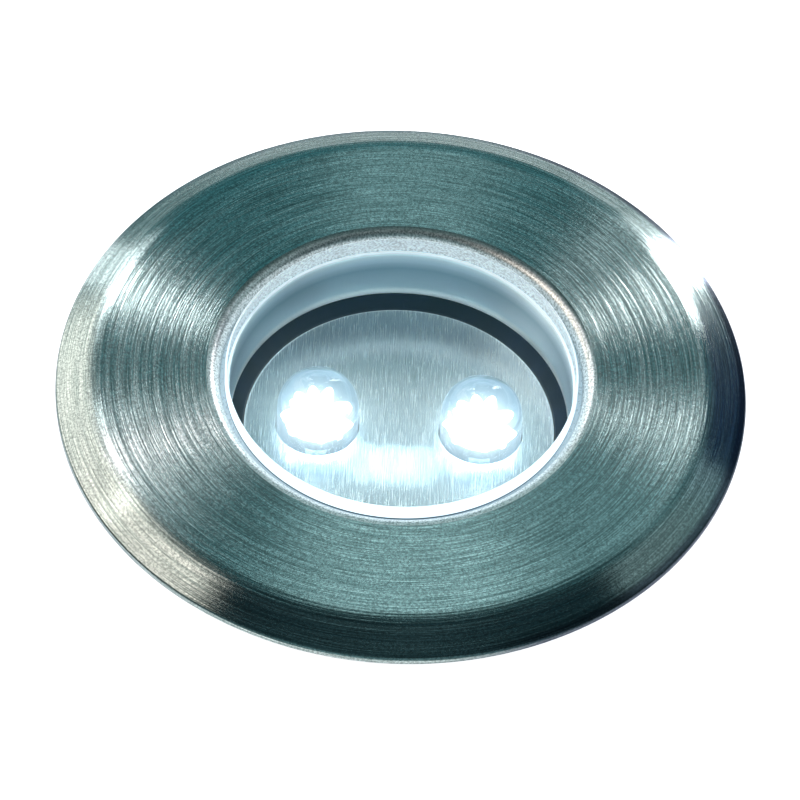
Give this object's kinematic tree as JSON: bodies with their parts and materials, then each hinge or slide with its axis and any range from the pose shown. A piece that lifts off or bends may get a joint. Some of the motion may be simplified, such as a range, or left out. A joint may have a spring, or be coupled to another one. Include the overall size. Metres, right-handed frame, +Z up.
{
  "type": "recessed deck light",
  "caption": "Round recessed deck light: turned steel flange, clear glass disc over a deep recess with white LEDs, barrel with sprung side clips and a cable gland below.",
  "frame": {"origin": "on the light's axis, in the plane of the deck under the flange", "axes": "+Z up out of the deck along the light's axis, +X through the LED and the clip on the right"},
  "size_m": [0.042, 0.042, 0.0206],
  "materials": {
    "turned_steel": "turned and brushed round the axis, lip and recess wall polished",
    "foam_rubber": "closed-cell foam",
    "clear_glass": "polished, edges broken",
    "clear_sealant": "translucent silicone",
    "faceplate_steel": "brushed in straight lines, bright",
    "black_rubber": "smooth",
    "black_carrier": "moulded",
    "clear_epoxy": "clear, glossy",
    "plated_lead_frame": "tin plated",
    "phosphor": "phosphor in silicone",
    "board_laminate": "green solder mask",
    "solder": "bright solder",
    "component_black": "moulded",
    "capacitor_yellow": "moulded",
    "terminal_white": "moulded",
    "screw_steel": "zinc plated",
    "housing_black": "moulded, fine texture",
    "gland_nickel": "nickel plated",
    "spring_steel": "stainless strip and wire",
    "pin_steel": "stainless, ground"
  },
  "bodies": {
    "lamp": {"bezel": "turned_steel", "flange_gasket": "foam_rubber", "lens": "clear_glass", "lens_seal": "clear_sealant", "faceplate": "faceplate_steel", "faceplate_gasket": "black_rubber", "led_holder": "black_carrier", "led_left": "clear_epoxy", "led_right": "clear_epoxy", "led_frame_left": "plated_lead_frame", "led_frame_right": "plated_lead_frame", "led_chip_left": "phosphor", "led_chip_right": "phosphor", "circuit_board": "board_laminate", "solder_joints": "solder", "bridge_rectifier": "component_black", "led_driver": "component_black", "capacitor": "capacitor_yellow", "resistors": "component_black", "wire_terminal": "terminal_white", "board_screws": "screw_steel", "housing": "housing_black", "housing_o_ring": "black_rubber", "gland_body": "gland_nickel", "gland_washer": "black_rubber", "gland_locknut": "gland_nickel", "gland_seal": "black_rubber", "gland_nut": "gland_nickel", "clip_pin_left": "pin_steel", "clip_pin_right": "pin_steel", "clip_spring_left": "spring_steel", "clip_spring_right": "spring_steel"},
    "left_clip": {"clip_left": "spring_steel"},
    "right_clip": {"clip_right": "spring_steel"}
  },
  "joints": [
    {"name": "clip_left_hinge", "type": "hinge", "parent": "lamp", "child": "left_clip", "pos_m": [-0.0133, 0, -0.00942], "axis": [0, 1, 0], "range_deg": [0, 34], "stiffness_Nm_per_rad": 0.003, "springref_deg": -57.3, "deforming": ["clip_spring_left"]},
    {"name": "clip_right_hinge", "type": "hinge", "parent": "lamp", "child": "right_clip", "pos_m": [0.0133, 0, -0.00942], "axis": [0, -1, 0], "range_deg": [0, 34], "stiffness_Nm_per_rad": 0.003, "springref_deg": -57.3, "deforming": ["clip_spring_right"]}
  ]
}
